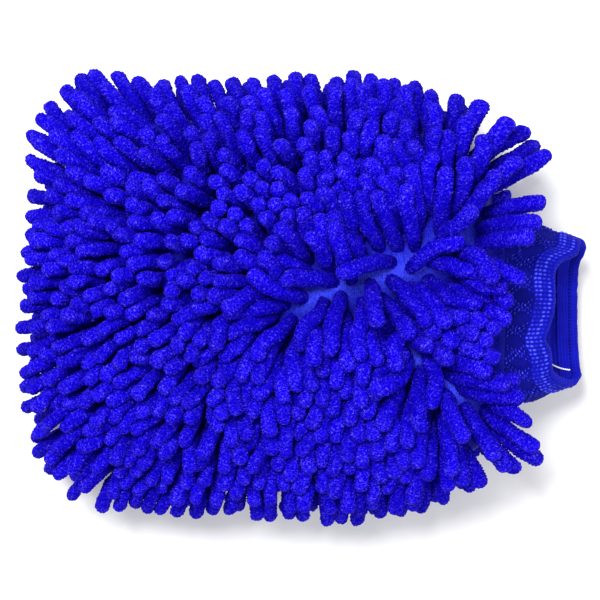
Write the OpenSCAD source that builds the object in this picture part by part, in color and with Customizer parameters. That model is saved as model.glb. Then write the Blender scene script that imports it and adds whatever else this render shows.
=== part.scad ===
// Chenille wash mitt: a sewn bag of two pile panels with a soft knitted cuff.
// It lies palm side up on a table. +Z is up through the palm side, -X is the
// finger end, +X is the cuff, and z = 0 is the table.

/* [Bag] */
// Length of the sewn bag from its finger end to the cuff seam
bag_len = 202; // [190:1:215]
// Half width of the sewn bag at its widest
bag_half = 84; // [80:1:92]
// Length of the rounded corners at the finger end
corner_len = 40; // [36:1:55]
// Length of the shoulders that narrow to the cuff
shoulder_len = 44; // [36:1:55]
// How much each side comes in before the shoulder
side_taper = 5; // [3:1:9]
// Height of the seam above the table
seam_z = 37; // [36:0.5:39]
// Half height of the pocket at its middle
pocket_half = 15; // [12:0.5:16]
// Thickness of the base cloth
cloth_t = 1.5; // [1:0.1:2]

/* [Pile] */
// Rows of chenille fingers on each panel
row_count = 21; // [17:2:23]
// Length of a chenille finger
pile_len = 24; // [20:0.5:28]
// Gap between one row and the next
row_gap = 0.3; // [0.2:0.05:0.6]

/* [Cuff] */
// Half width of the cuff where it leaves the bag
cuff_half_w = 40; // [36:1:41]
// Half height of the cuff where it leaves the bag
cuff_half_h = 13.5; // [12:0.5:13.5]
// Distance from the cuff seam to the lower edge of the mouth
cuff_len = 39; // [34:1:46]
// How far the upper edge of the mouth sits behind the lower edge
mouth_slant = 15; // [8:1:22]
// How far the cuff droops at its mouth
cuff_droop = 10; // [4:0.5:12]
// Sideways offset of the cuff from the middle of the bag
cuff_y = -6; // [-8:0.5:-4]
// Thickness of the knitted wall
knit_t = 1.2; // [1:0.1:1.4]
// Width of the turned hem at the mouth
hem_w = 11; // [8:0.5:13]

/* [Hidden] */
function row_name(panel, i) = str(panel, "_row_", i < 10 ? "0" : "", i);

palm = 1;
back = -1;
royal = [0.08, 0.06, 0.9];
cloth_blue = [0.16, 0.2, 0.75];
knit_blue = [0.1, 0.12, 0.82];
x_cuff = 92;
x_tip = x_cuff - bag_len;
x_shoulder = x_cuff - shoulder_len;
row_pitch = 2 * bag_half / row_count;
stations = 18;
// how far a row's base stands off the base cloth, to keep the facets clear
row_lift = 0.35;
corner_pow = 2.6;
shoulder_pow = 2.2;
around = 40;
cuff_start = x_cuff - 6;
cuff_bend_x = x_cuff + 2;
// the pocket narrows to these half widths on its +Y and -Y sides at the cuff
neck_hi = cuff_half_w + 4 + cuff_y;
neck_lo = cuff_half_w + 4 - cuff_y;
shoulder_half = bag_half - side_taper;

function unit(v) = min(1, max(0, v));
function side(y) = y < 0 ? -1 : 1;
function neck(y) = y < 0 ? neck_lo : neck_hi;
function round_off(t, p) = pow(unit(1 - pow(unit(t), p)), 1 / p);

// half width of the bag at x, on the side where y is
function half_w(x, y) =
    x < x_tip + corner_len ? bag_half * round_off((x_tip + corner_len - x) / corner_len, corner_pow)
    : x < 0 ? bag_half
    : x < x_shoulder ? bag_half - side_taper * pow(x / x_shoulder, 2)
    : neck(y) + (shoulder_half - neck(y)) * round_off((x - x_shoulder) / shoulder_len, shoulder_pow);

// where a line of constant y meets the outline at the finger end and at the cuff end
function x_left(y) = x_tip + corner_len - corner_len * round_off(abs(y) / bag_half, corner_pow);
function x_right(y) =
    abs(y) <= neck(y) ? x_cuff
    : abs(y) <= shoulder_half
        ? x_shoulder + shoulder_len * round_off((abs(y) - neck(y)) / (shoulder_half - neck(y)), shoulder_pow)
    : x_shoulder * sqrt(unit((bag_half - abs(y)) / side_taper));

// half height of the pocket
function ridge(x) =
    x < -40 ? pocket_half * round_off((-40 - x) / (-40 - x_tip), 2.5)
    : pocket_half + 2 * unit((x + 40) / (x_cuff + 40));
function pocket(x, y) =
    ridge(x) * pow(unit(1 - pow(unit(abs(y) / max(1, half_w(x, y))), 3)), 2 / 3);

// direction of the pile: straight up in the middle, fanned out towards the edges
function lean_x(x, y) =
    x < -50 ? -pow(unit((-50 - x) / (-50 - x_tip)), 1.6)
    : x > x_shoulder ? pow(unit((x - x_shoulder) / shoulder_len), 1.6) * unit((abs(y) - neck(y)) / 14)
    : 0;
function lean_y(y) = side(y) * pow(unit(abs(y) / bag_half), 2.5);
function fanned(v) = let (m = norm(v), k = m > 0.97 ? 0.97 / m : 1) [v[0] * k, v[1] * k, sqrt(1 - pow(m * k, 2))];
function pile_dir(x, y) = fanned([lean_x(x, y), lean_y(y)]);

function on_line(y, j) = let (u = j / stations) x_left(y) * (1 - u) + x_right(y) * u;

// the pile's outermost line keeps level with the line next to it, so its ends aren't drawn to a point
function next_in(y) = side(y) * (bag_half - row_pitch + row_gap / 2);
function row_x(y, j) =
    let (u = j / stations, rim = abs(y) > bag_half - row_gap)
    (1 - u) * (rim ? x_left(next_in(y)) + 8 : x_left(y)) + u * (rim ? x_right(next_in(y)) - 12 : x_right(y));
function base_pt(s, y, j) =
    let (x = row_x(y, j)) [x, y, seam_z + s * (cloth_t + row_lift + pocket(x, y))];
function tip_pt(s, y, j) =
    let (b = base_pt(s, y, j), d = pile_dir(b[0], y) * pile_len)
    [b[0] + d[0], b[1] + d[1], max(0, b[2] + s * d[2])];

// a solid through rings of equal length, with its first and last ring closed
module loft(rings, flip) {
    n = len(rings[0]);
    k = len(rings);
    walls = [for (i = [0 : k - 2], j = [0 : n - 1], half = [0, 1])
        let (a = i * n + j, b = i * n + (j + 1) % n, c = b + n, d = a + n)
        j == n - 1
            ? (half == 0 ? [a, b, d] : [b, c, d])
            : (half == 0 ? [a, b, c] : [a, c, d])];
    caps = [[for (j = [n - 1 : -1 : 0]) j], [for (j = [0 : n - 1]) (k - 1) * n + j]];
    turned = [for (f = concat(walls, caps)) flip ? [for (j = [len(f) - 1 : -1 : 0]) f[j]] : f];
    polyhedron(points = [for (r = rings) each r], faces = turned, convexity = 6);
}

// a closed band: rings run round it, and the last joins the first
module band(rings, flip) {
    n = len(rings[0]);
    k = len(rings);
    walls = [for (i = [0 : k - 1], j = [0 : n - 1], half = [0, 1])
        let (a = i * n + j, b = i * n + (j + 1) % n,
             c = ((i + 1) % k) * n + (j + 1) % n, d = ((i + 1) % k) * n + j)
        half == 0 ? [a, b, c] : [a, c, d]];
    turned = [for (f = walls) flip ? [f[2], f[1], f[0]] : f];
    polyhedron(points = [for (r = rings) each r], faces = turned, convexity = 6);
}

// one row of chenille fingers, from the base cloth to the finger tips
module chenille_row(s, i) {
    lo = -bag_half + (i - 1) * row_pitch + row_gap / 2;
    hi = -bag_half + i * row_pitch - row_gap / 2;
    rings = [for (j = [0 : stations])
        [base_pt(s, lo, j), base_pt(s, hi, j), tip_pt(s, hi, j), tip_pt(s, lo, j)]];
    color(royal) loft(rings, s == back);
}

// the base cloth of one panel
module backing(s) {
    lines = row_count + 1;
    n = stations + 1;
    skin = [for (t = [0.05, cloth_t], i = [0 : row_count], j = [0 : stations])
        let (y = -bag_half + i * row_pitch, x = on_line(y, j)) [x, y, seam_z + s * (t + pocket(x, y))]];
    half_count = lines * n;
    sheet = [for (i = [0 : row_count - 1], j = [0 : stations - 1])
        let (a = i * n + j) [a, a + 1, a + n + 1, a + n]];
    inside = [for (q = sheet) each [[q[0], q[1], q[2]], [q[0], q[2], q[3]]]];
    outside = [for (f = inside) [for (j = [2 : -1 : 0]) f[j] + half_count]];
    rim = concat(
        [for (j = [0 : stations - 1]) j],
        [for (i = [0 : row_count - 1]) i * n + stations],
        [for (j = [stations : -1 : 1]) row_count * n + j],
        [for (i = [row_count : -1 : 1]) i * n]);
    edge = [for (k = [0 : len(rim) - 1])
        let (a = rim[k], b = rim[(k + 1) % len(rim)]) each [[b, a, a + half_count], [b, a + half_count, b + half_count]]];
    all_faces = concat(inside, outside, edge);
    turned = [for (f = all_faces) s == back ? [f[2], f[1], f[0]] : f];
    color(cloth_blue) polyhedron(points = skin, faces = turned, convexity = 8);
}

module palm_backing() { backing(palm); }
module back_backing() { backing(back); }

// the overlocked seam allowance that runs round the inside of the bag
module side_seam() {
    row_line = function(i) -bag_half + i * row_pitch;
    path = concat(
        [for (i = [0 : row_count]) let (y = row_line(i)) if (y > neck_hi) [x_right(y), y]],
        [for (i = [row_count : -1 : 0]) let (y = row_line(i)) [x_left(y), y]],
        [for (i = [0 : row_count]) let (y = row_line(i)) if (y < -neck_lo) [x_right(y), y]]);
    last = len(path) - 1;
    inward = [for (k = [0 : last])
        let (t = path[min(last, k + 1)] - path[max(0, k - 1)], m = norm(t)) [-t[1] / m, t[0] / m]];
    rings = [for (k = [0 : last])
        let (o = path[k] + inward[k] * 2.2, q = path[k] + inward[k] * 7)
        [[o[0], o[1], seam_z - 0.7], [q[0], q[1], seam_z - 1.5],
         [q[0], q[1], seam_z + 1.5], [o[0], o[1], seam_z + 0.7]]];
    color(knit_blue) loft(rings, false);
}

// an oval ring in the YZ plane: t goes round it from +Y over the top
function oval(t, hi_w, lo_w, h, p, q) =
    let (c = cos(t), v = sin(t))
    [(c < 0 ? -lo_w : hi_w) * pow(abs(c), 2 / p), h * side(v) * pow(abs(v), 2 / q)];

// the stitched ring that joins the cuff to the rim of the pocket
module cuff_seam() {
    rim_ring = function(x, in)
        [for (k = [0 : around - 1])
            let (o = oval(k * 360 / around, neck_hi - 1.6 * in - 1, neck_lo - 1.6 * in - 1,
                          ridge(x) - in, 3, 1.5))
            [x, o[0], seam_z + o[1]]];
    color(royal) band([rim_ring(90.5, 0.4), rim_ring(93.6, 0.4), rim_ring(93.6, 0.9), rim_ring(90.5, 0.9)], false);
}

// the cuff: how its middle line droops, how it narrows, and where its mouth ends
function cuff_z(x) = seam_z - cuff_droop * pow(unit((x - cuff_bend_x) / (cuff_len - 2)), 1.3);
function cuff_w(x) =
    cuff_half_w + 2.5 * sin(180 * unit((x - cuff_bend_x) / 26)) - 6.5 * pow(unit((x - cuff_bend_x - 10) / 30), 1.4);
function cuff_h(x) = cuff_half_h + 2 * unit((x - cuff_start) / (cuff_len + 6));
function mouth_x(t) = x_cuff + cuff_len - mouth_slant * pow(max(0, sin(t)), 1.2);
function cuff_ring(in, place) =
    [for (k = [0 : around - 1])
        let (t = k * 360 / around, x = place(t),
             o = oval(t, cuff_w(x) - in, cuff_w(x) - in, cuff_h(x) - in, 2.5, 1.6))
        [x, cuff_y + o[0], cuff_z(x) + o[1]]];
function part_way(f) = function(t) cuff_start + f * (mouth_x(t) - cuff_start);
function from_mouth(d) = function(t) mouth_x(t) + d;

// the knitted tube of the cuff
module cuff_knit() {
    steps = 6;
    rings = concat(
        [for (i = [0 : steps]) cuff_ring(0, part_way(i / steps))],
        [for (i = [steps : -1 : 0]) cuff_ring(knit_t, part_way(i / steps))]);
    color(knit_blue) band(rings, false);
}

// the elastic band inside the hem
module cuff_elastic() {
    color("white") band([
        cuff_ring(knit_t + 0.4, from_mouth(1 - hem_w)),
        cuff_ring(knit_t + 0.4, from_mouth(0.3 - hem_w / 2)),
        cuff_ring(knit_t + 0.4, from_mouth(-0.4)),
        cuff_ring(knit_t + 0.95, from_mouth(-0.4)),
        cuff_ring(knit_t + 0.95, from_mouth(0.3 - hem_w / 2)),
        cuff_ring(knit_t + 0.95, from_mouth(1 - hem_w))], false);
}

// the hem: the knit turned inwards over the elastic, with its rolled edge
module cuff_hem() {
    color(knit_blue) band([
        cuff_ring(-0.3, from_mouth(0.15)),
        cuff_ring(-0.1, from_mouth(2.2)),
        cuff_ring(knit_t + 2.1, from_mouth(2.2)),
        cuff_ring(knit_t + 2.1, from_mouth(-hem_w / 2)),
        cuff_ring(knit_t + 2.1, from_mouth(-hem_w)),
        cuff_ring(knit_t + 1.15, from_mouth(-hem_w)),
        cuff_ring(knit_t + 1.15, from_mouth(-hem_w / 2)),
        cuff_ring(knit_t + 1.15, from_mouth(0.15))], false);
}

// the loose end of the cuff's sewing thread, with its knot
module thread_tail() {
    color("white") translate([118, -29.2, 23.0]) rotate([0, 88, -17]) {
        cylinder(h = 12, r = 0.3, $fn = 24);
        sphere(r = 0.7, $fn = 24);
    }
}

palm_backing();
back_backing();
side_seam();
cuff_seam();
cuff_knit();
cuff_elastic();
cuff_hem();
thread_tail();
for (i = [1 : row_count])
    chenille_row(palm, i);
for (i = [1 : row_count])
    chenille_row(back, i);
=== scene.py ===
"""Looks of the chenille wash mitt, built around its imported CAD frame.

Lengths are in mm until a mesh is made. +X is the cuff, +Z is the palm side.
"""

import math

import bpy
import numpy as np
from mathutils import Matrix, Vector


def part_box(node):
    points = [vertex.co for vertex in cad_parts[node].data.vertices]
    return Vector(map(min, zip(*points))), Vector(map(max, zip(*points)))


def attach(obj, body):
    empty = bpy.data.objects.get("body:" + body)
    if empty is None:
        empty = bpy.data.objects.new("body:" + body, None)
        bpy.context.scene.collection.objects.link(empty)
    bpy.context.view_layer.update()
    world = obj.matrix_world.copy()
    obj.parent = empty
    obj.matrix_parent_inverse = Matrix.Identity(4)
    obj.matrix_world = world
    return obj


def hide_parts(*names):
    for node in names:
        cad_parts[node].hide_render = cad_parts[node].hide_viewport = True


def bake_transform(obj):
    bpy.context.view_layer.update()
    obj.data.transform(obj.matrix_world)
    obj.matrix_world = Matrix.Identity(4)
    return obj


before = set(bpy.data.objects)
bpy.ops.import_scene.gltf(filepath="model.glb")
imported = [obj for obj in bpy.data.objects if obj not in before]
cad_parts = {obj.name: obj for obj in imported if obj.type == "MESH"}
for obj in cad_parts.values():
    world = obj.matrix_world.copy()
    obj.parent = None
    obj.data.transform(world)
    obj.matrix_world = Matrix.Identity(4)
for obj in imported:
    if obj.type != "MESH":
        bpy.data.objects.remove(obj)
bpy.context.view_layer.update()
MM = 0.001
rng = np.random.default_rng(11)


# ---------------------------------------------------------------- measures, as in the CAD part

def box_mm(node):
    lo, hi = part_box(node)
    return np.array(lo) / MM, np.array(hi) / MM


palm_lo, palm_hi = box_mm("palm_backing")
seam_lo, seam_hi = box_mm("side_seam")
x_tip, x_cuff = palm_lo[0], palm_hi[0]
bag_half = palm_hi[1]
seam_z = 0.5 * (seam_lo[2] + seam_hi[2])
corner_len, shoulder_len, side_taper = 40.0, 44.0, 5.0
corner_power, shoulder_power = 2.6, 2.2
x_shoulder = x_cuff - shoulder_len
shoulder_half = bag_half - side_taper
# half widths of the neck on its +Y and -Y sides
neck_hi, neck_lo = 38.0, 50.0
cuff_y = -6.0
cuff_len = 39.0
mouth_slant = 15.0
cuff_droop = 10.0
bend_x = x_cuff + 2
cloth_thick = 1.5
pocket_half = 15.0
pocket_front = -40.0
fold_height = 10.0
row_nodes = {
    "palm": sorted(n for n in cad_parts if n.startswith("palm_row")),
    "back": sorted(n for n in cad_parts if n.startswith("back_row")),
}
row_count = len(row_nodes["palm"])
row_pitch = 2 * bag_half / row_count


def unit(t):
    return np.clip(t, 0.0, 1.0)


def smooth(t):
    t = unit(t)
    return t * t * (3 - 2 * t)


def round_off(t, p):
    return unit(1 - unit(t) ** p) ** (1 / p)


def normalise(v):
    return v / np.maximum(np.linalg.norm(v, axis=-1, keepdims=True), 1e-9)


def neck(y):
    return np.where(y > 0, neck_hi, neck_lo)


def half_w(x, y):
    tip = bag_half * round_off((x_tip + corner_len - x) / corner_len, corner_power)
    side = bag_half - side_taper * unit(x / x_shoulder) ** 2
    end = neck(y) + (shoulder_half - neck(y)) * round_off((x - x_shoulder) / shoulder_len, shoulder_power)
    return np.where(x < x_tip + corner_len, tip, np.where(x < x_shoulder, side, end))


def x_left(y):
    return x_tip + corner_len - corner_len * round_off(np.abs(y) / bag_half, corner_power)


def x_right(y):
    a = np.abs(y)
    n = neck(y)
    bend = x_shoulder + shoulder_len * round_off((a - n) / (shoulder_half - n), shoulder_power)
    side = x_shoulder * np.sqrt(unit((bag_half - a) / side_taper))
    return np.where(a <= n, x_cuff, np.where(a <= shoulder_half, bend, side))


def pocket(x, y):
    """Half height of the space inside the bag."""
    rise = round_off((pocket_front - x) / (pocket_front - x_tip), 2.5)
    level = pocket_half + 2 * unit((x - pocket_front) / (x_cuff - pocket_front))
    crown = np.where(x < pocket_front, pocket_half * rise, level)
    across = unit(np.abs(y) / np.maximum(1, half_w(x, y)))
    return crown * unit(1 - across ** 3) ** (2 / 3)


# The palm cloth is pinched up into two folds near the cuff, where the pile parts.
fold_one = np.array([[4.0, -1.0], [17.0, 5.0], [28.0, 8.5], [38.0, 11.5], [55.0, 16.5], [71.0, 27.0]])
fold_two = np.array([[53.0, -27.0], [62.0, -33.0], [71.0, -41.0]])


def away(x, y, line):
    """Distance from a polyline, and the unit vector pointing away from it."""
    p = np.stack([x, y], -1)
    best = np.full(p.shape[:-1], 1e9)
    out = np.zeros(p.shape)
    for a, b in zip(line[:-1], line[1:]):
        t = unit(((p - a) @ (b - a)) / ((b - a) @ (b - a)))
        v = p - (a + t[..., None] * (b - a))
        d = np.linalg.norm(v, axis=-1)
        near = d < best
        best = np.where(near, d, best)
        out = np.where(near[..., None], v, out)
    return best, out / np.maximum(best, 1e-6)[..., None]


def folds(x, y):
    d1, _ = away(x, y, fold_one)
    d2, _ = away(x, y, fold_two)
    return fold_height * np.maximum(np.exp(-(d1 / 15) ** 1.5), np.exp(-(d2 / 14) ** 1.5))


def cloth_z(x, y, side):
    """Outer face of the palm (side +1) or back (side -1) cloth."""
    lift = cloth_thick + pocket(x, y)
    drop = 5.0 * smooth((x - 75) / 16) * unit(pocket(x, y) / 10)
    lift = np.where(side > 0, lift + folds(x, y) * unit(pocket(x, y) / 8) - drop, lift)
    return seam_z + side * lift


def inside(x, y):
    return (x > x_left(y)) & (x < x_right(y)) & (np.abs(y) < bag_half)


def cuff_mid(x):
    return seam_z - cuff_droop * unit((x - bend_x) / (cuff_len - 2)) ** 1.3


def cuff_w(x):
    return 40 + 2.5 * np.sin(math.pi * unit((x - bend_x) / 26)) - 6.5 * unit((x - bend_x - 10) / 30) ** 1.4


def cuff_h(x):
    return 13.5 + 2 * unit((x - 86) / (cuff_len + 6))


# ---------------------------------------------------------------- the pile: where each finger is rooted

# points along each finger's spine
NODES = 8
# how far the rows reach past the edge of the cloth
ROW_OVERHANG = 1.5


def roots(panel, pitch_left, pitch_right):
    """Root points of one panel's fingers, row by row, staggered."""
    out = []
    for i in range(row_count):
        y0 = (i + 0.5) * row_pitch - bag_half
        y0 += np.sign(y0) * 1.6 * unit((abs(y0) - 66) / 14)
        y_in = np.sign(y0) * min(abs(y0) + 1.5, bag_half - 0.5)
        x0 = float(x_left(np.array(y_in))) - ROW_OVERHANG
        x1 = float(x_right(np.array(y_in))) + ROW_OVERHANG
        if i in (0, row_count - 1):
            # the outermost row follows the edge
            next_in = np.array(np.sign(y0) * (bag_half - row_pitch))
            x0, x1 = float(x_left(next_in)) + 7, float(x_right(next_in)) - 7
        # the middle rows stop short of the cuff
        clear = np.interp(y0, [-46, -40, -34, -20, -8, 2, 9, 17, 28, 36], [2, 7, 12, 14, 14, 13, 12, 9, 7, 3])
        x1 = min(x1, x_cuff - clear)
        first = pitch_left + 0.8 * unit(0.5 + 0.5 * y0 / bag_half)
        both = first + pitch_right
        count = max(2, int(round(2 * (x1 - x0) / both)))
        shift = 0.25 if i % 2 else -0.25
        for k in range(count):
            inner = math.sin(math.pi * (k + 0.5) / count) ** 0.5
            s = (k + 0.5 + shift * inner) / count
            x = x0 + (x1 - x0) * (2 * first * s + (pitch_right - first) * s * s) / both + rng.normal(0, 0.6)
            zig = (1.1 + 0.9 * smooth((-x - 20) / 40)) * unit((bag_half - 3 - abs(y0)) / 4)
            y = y0 + (zig if k % 2 else -zig) + rng.normal(0, 0.6)
            if i in (0, row_count - 1):
                y = np.sign(y0) * min(abs(y), float(half_w(np.array(x), np.array(y0))) - 1.2)
            out.append((i, x, y, panel))
    return out


made = np.array(roots(1, 6.3, 9.2) + roots(-1, 7.6, 8.6))
row_of = made[:, 0].astype(int)
rx, ry, side = made[:, 1], made[:, 2], made[:, 3]
ry = np.clip(ry, -bag_half + 1.0, bag_half - 1.0)
palm = side > 0
count = len(made)
# along the crest of each fold the pile is pulled apart, so the cloth shows
for line, bare in ((fold_one, 0.6), (fold_two, 0.6)):
    d, u = away(rx, ry, line)
    shift = np.where(palm, np.maximum(0, bare * (1 - d / 11)), 0)
    rx, ry = rx + u[:, 0] * shift, ry + u[:, 1] * shift


def fan_lean(x, y, palm):
    """How far a finger lies over from upright, as a vector in the plane."""
    upper = np.where(palm, smooth((y - 8) / 50), 0)
    from_x = -14 + 38 * upper
    left = -0.98 * unit((from_x - x) / (108 + from_x)) ** 1.2
    neck_gap = unit((np.abs(y + 6) - 26) / 22)
    right = unit((x - 50) / 42) ** 1.2 * (0.35 + 0.65 * neck_gap)
    up_mid = np.where(palm, 30.0, 0.0)
    up = 0.98 * unit((y - up_mid) / (bag_half - up_mid)) ** 1.25
    down = -unit((up_mid - y) / (bag_half + up_mid)) ** 1.3
    return np.stack([left + right, up + down], -1)


lean = fan_lean(rx, ry, palm)
for line, power, reach in ((fold_one, 0.8, 40.0), (fold_two, 0.75, 32.0)):
    d, u = away(rx, ry, line)
    past = smooth((rx - 68) / 14) * np.where(ry < -20, 0.85, 0.7)
    push = power * np.exp(-(d / reach) ** 2) * (1 - past)
    # a few fingers beside the parting lie across it
    push = np.where((d < 8) & (rng.random(count) < 0.2), -0.45 * push, push)
    lean += palm[:, None] * u * push[:, None]
# the fold's fingers also spread like two half stars, the upper one nearer the cuff
above = smooth((ry - np.interp(rx, fold_one[:, 0], fold_one[:, 1]) + 4) / 8)
star = np.stack([rx - 26 - 32 * above, ry - 6 - 8 * above], -1)
star_d = np.linalg.norm(star, axis=1)
lean += (palm * 0.75 * np.exp(-(star_d / 42) ** 2) * unit(star_d / 12))[:, None] * normalise(star)
# beside the cuff the middle fingers stand up more, so that the knit shows
calm = palm * np.exp(-((ry + 15) / 14) ** 2) * smooth((rx - 60) / 10)
lean *= (1 - 0.45 * calm)[:, None]
# the back lies on the table, so its fingers are pressed over, outwards
spread = normalise(np.stack([rx + 5, ry], -1) + rng.normal(0, 16, (count, 2)))
lean = np.where(palm[:, None], lean, 0.5 * lean + 0.62 * spread)
edge = np.maximum(unit((np.abs(ry) - 62) / 22), unit((-rx - 84) / 26))
d_fold = np.minimum(away(rx, ry, fold_one)[0], away(rx, ry, fold_two)[0])
stray = 0.075 - 0.02 * edge + 0.30 * np.exp(-(d_fold / 8) ** 2) * palm
lean += rng.normal(0, 1, (count, 2)) * stray[:, None]
size = np.linalg.norm(lean, axis=1, keepdims=True)
# on the crests no finger stands quite upright
low = (0.6 * np.exp(-(d_fold / 16) ** 2) * palm * (1 - 0.5 * calm))[:, None]
lean = np.where(size < low, lean * low / np.maximum(size, 1e-6), lean)
size = np.maximum(size, low)
lean = np.where(size > 0.95, lean * (0.95 / np.maximum(size, 1e-6)), lean)
size = np.linalg.norm(lean, axis=1)
aim = np.concatenate([lean, (side * np.sqrt(1 - size ** 2))[:, None]], 1)

PALM_LENGTH, BACK_LENGTH = 26.0, 23.0
PALM_RADIUS, BACK_RADIUS = 3.0, 3.15
near_fold = np.exp(-(d_fold / 45) ** 2) * palm
broad = 0.35 * unit((rx + 100) / 150) + 0.12 * unit((ry + 60) / 120)
radius = np.where(palm, PALM_RADIUS + broad, BACK_RADIUS) + 0.14 * near_fold + rng.normal(0, 0.13, count)
length = np.where(palm, PALM_LENGTH, BACK_LENGTH + 2.5 * edge)
length = length + 3.0 * near_fold + 0.6 * edge + rng.normal(0, 0.8, count)
# longer at the corners, shorter in the middle of the finger end and along parts of the sides
length += (
    3.0 * unit((-rx - 60) / 30) * unit((ry - 55) / 20)
    + 4.0 * unit((rx - 60) / 20) * unit((ry - 40) / 12)
)
length -= 4.0 * smooth((-rx - 76) / 24) * smooth((66 - np.abs(ry)) / 24) * smooth((ry + 24) / 30)
length += 3.5 * smooth((-rx - 80) / 20) * smooth((-ry - 28) / 20)
low_edge, high_edge = smooth((-ry - 50) / 24), smooth((ry - 54) / 20)
length -= low_edge * (8.0 * np.exp(-((rx + 70) / 18) ** 2) + 4.0 * np.exp(-((rx + 20) / 26) ** 2))
length -= low_edge * 6.0 * np.exp(-((rx - 76) / 16) ** 2)
length += high_edge * (3.5 * np.exp(-((rx - 34) / 15) ** 2) + 2.5 * np.exp(-((rx + 75) / 18) ** 2))
length -= 4.0 * calm
chain = length - radius

eps = 0.5
root = np.stack([rx, ry, cloth_z(rx, ry, side)], 1)
gx = (cloth_z(rx + eps, ry, side) - cloth_z(rx - eps, ry, side)) / (2 * eps)
gy = (cloth_z(rx, ry + eps, side) - cloth_z(rx, ry - eps, side)) / (2 * eps)
upright = normalise(np.stack([-gx * side, -gy * side, side], 1))
root_dir = normalise(0.35 * upright + 0.65 * aim)

rim = np.maximum(unit((12 - half_w(rx, ry) + np.abs(ry)) / 8), unit((x_left(ry) + 9 - rx) / 8))
# rest shape that each finger tries to keep: it curves over towards its aim, then hangs a little
seg = (chain / (NODES - 1))[:, None]
curl = rng.normal(0, 0.13, (count, 3))
target = np.zeros((count, NODES, 3))
target[:, 0] = root
for k in range(1, NODES):
    t = (k - 0.5) / (NODES - 1)
    w = min(1.0, 2.2 * t)
    d = (1 - w) * root_dir + w * aim + curl * t
    d[:, 2] -= (0.45 + 1.3 * rim * palm) * t ** 1.5 * size ** 2
    target[:, k] = target[:, k - 1] + seg * normalise(d)


# ---------------------------------------------------------------- the pile: fingers settle against each other

def touching(p, reach, owner):
    """Pairs of chain points of different fingers closer than reach."""
    cell = np.floor(p / reach).astype(np.int64)
    cell -= cell.min(0) - 1
    dims = cell.max(0) + 2
    key = (cell[:, 0] * dims[1] + cell[:, 1]) * dims[2] + cell[:, 2]
    order = np.argsort(key, kind="stable")
    sorted_key = key[order]
    steps = [(0, 0, 0)]
    for dx in (-1, 0, 1):
        for dy in (-1, 0, 1):
            for dz in (-1, 0, 1):
                if (dx, dy, dz) > (0, 0, 0):
                    steps.append((dx, dy, dz))
    ia, ib = [], []
    index = np.arange(len(p))
    for s in steps:
        other = key + (s[0] * dims[1] + s[1]) * dims[2] + s[2]
        lo = np.searchsorted(sorted_key, other, "left")
        hi = np.searchsorted(sorted_key, other, "right")
        for j in range(int((hi - lo).max())):
            ok = lo + j < hi
            a, b = index[ok], order[(lo + j)[ok]]
            keep = (owner[a] != owner[b]) & ((a < b) | (s != (0, 0, 0)))
            a, b = a[keep], b[keep]
            near = np.einsum("ij,ij->i", p[a] - p[b], p[a] - p[b]) < reach * reach
            ia.append(a[near])
            ib.append(b[near])
    return np.concatenate(ia), np.concatenate(ib)


def settle(p, steps):
    """Move the spines p until the fingers rest on each other, the cloth, the cuff and the table."""
    owner = np.repeat(np.arange(count), NODES)
    taper = np.ones(NODES)
    taper[0], taper[1] = 0.7, 0.9
    r = (radius[:, None] * taper).ravel()
    free = np.tile(np.arange(NODES) > 0, count).astype(float)
    hold = np.linspace(0.30, 0.05, NODES)[None, :, None]
    top = np.repeat(palm, NODES)
    n = count * NODES
    for step in range(steps):
        # the last steps only push the fingers apart
        if step <= steps - 40:
            p += hold * (target - p) * 0.5
            p[:, 2:, 2] -= 0.04
        flat = p.reshape(-1, 3)
        if step % 4 == 0:
            a, b = touching(flat, 2 * r.max() + 1.2, owner)
        d = flat[a] - flat[b]
        dist = np.linalg.norm(d, axis=1)
        gap = (r[a] + r[b]) * 0.99 + 0.15 - dist
        hit = gap > 0
        ha, hb, hd = a[hit], b[hit], d[hit] / np.maximum(dist[hit], 1e-6)[:, None]
        share = free[ha] + free[hb]
        push = (gap[hit] / np.maximum(share, 1) * 0.6)[:, None] * hd
        move = np.zeros((n, 3))
        for c in range(3):
            move[:, c] += np.bincount(ha, push[:, c] * free[ha], n)
            move[:, c] -= np.bincount(hb, push[:, c] * free[hb], n)
        flat = flat + np.clip(move, -1.5, 1.5)
        # cloth, cuff and table
        x, y, z = flat.T
        on = inside(x, y)
        s = np.where(top, 1.0, -1.0)
        wall = cloth_z(x, y, s) + s * r
        z = np.where(on & top, np.maximum(z, wall), z)
        z = np.where(on & ~top, np.minimum(z, np.maximum(wall, r)), z)
        side_y = np.abs(y - cuff_y) / cuff_w(x)
        over = (x > x_cuff - 1) & (side_y < 1)
        hump = cuff_h(x) * unit(1 - unit(side_y) ** 2.5) ** (1 / 1.6)
        z = np.where(over & top, np.maximum(z, cuff_mid(x) + hump + r), z)
        z = np.where(over & ~top, np.minimum(z, np.maximum(cuff_mid(x) - hump - r, r)), z)
        z = np.maximum(z, r * 0.96)
        p = np.stack([x, y, z], 1).reshape(count, NODES, 3)
        p[:, 0] = root
        for _ in range(2):
            for gap_k, stiff in ((1, 1.0), (2, 0.35), (3, 0.25)):
                for k in range(NODES - gap_k):
                    v = p[:, k + gap_k] - p[:, k]
                    l = np.linalg.norm(v, axis=1, keepdims=True)
                    want = seg * gap_k * (1.0 if gap_k == 1 else 0.985)
                    err = l - want
                    if gap_k > 1:
                        err = np.minimum(err, 0)
                    corr = stiff * err * v / np.maximum(l, 1e-6)
                    if k == 0:
                        p[:, k + gap_k] -= corr
                    else:
                        p[:, k] += 0.5 * corr
                        p[:, k + gap_k] -= 0.5 * corr
    return p


spine = settle(target.copy(), 220)


# ---------------------------------------------------------------- mesh helpers

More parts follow.
